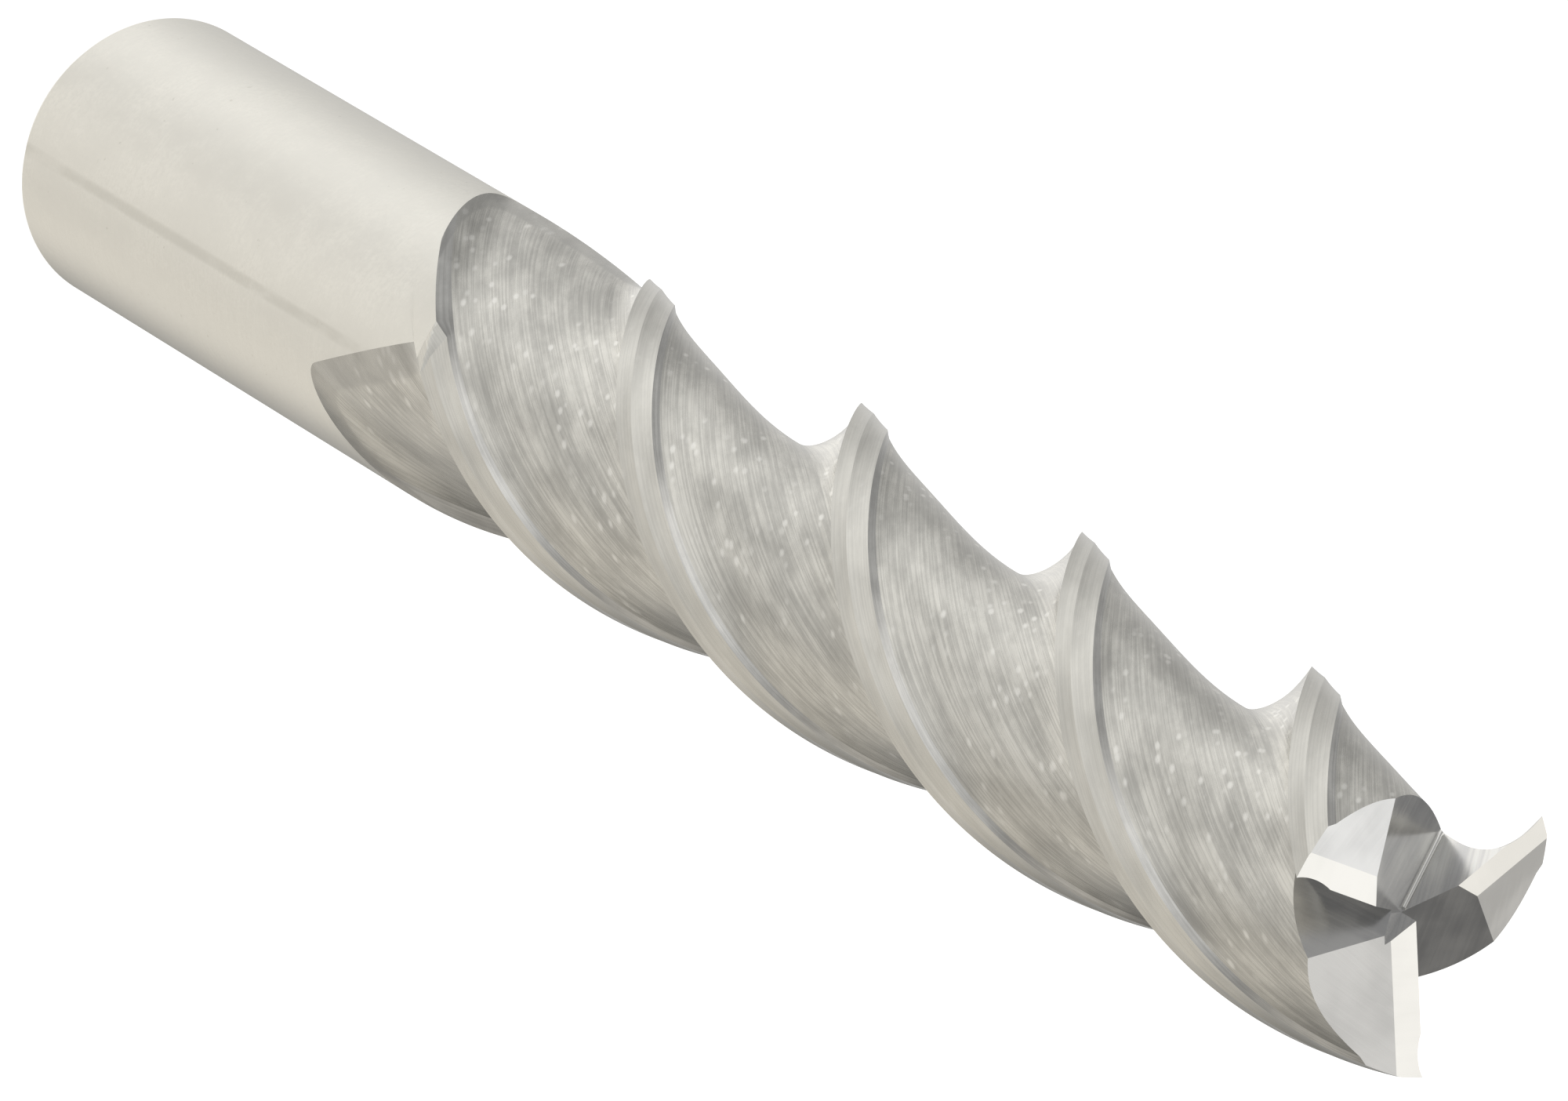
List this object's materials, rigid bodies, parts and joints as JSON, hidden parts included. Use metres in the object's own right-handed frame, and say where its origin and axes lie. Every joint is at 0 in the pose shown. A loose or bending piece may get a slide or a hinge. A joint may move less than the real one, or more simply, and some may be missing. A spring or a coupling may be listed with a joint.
{
  "type": "end mill",
  "caption": "Solid carbide square end mill with plain shank, right-hand high-helix flutes and a centre-cutting end.",
  "frame": {"origin": "centre of the shank's flat back face", "axes": "+Z along the tool's axis, from the back face to the cutting end; +X through the corner of tooth 1"},
  "size_m": [0.019, 0.019, 0.1524],
  "materials": {
    "ground_shank": "cylindrically ground, fine satin, uncoated carbide",
    "ground_flutes": "wheel-ground with fine lines along the helix, uncoated carbide"
  },
  "bodies": {
    "root": {"shank": "ground_shank", "core_web": "ground_flutes", "tooth_1": "ground_flutes", "tooth_2": "ground_flutes", "tooth_3": "ground_flutes"}
  },
  "joints": []
}
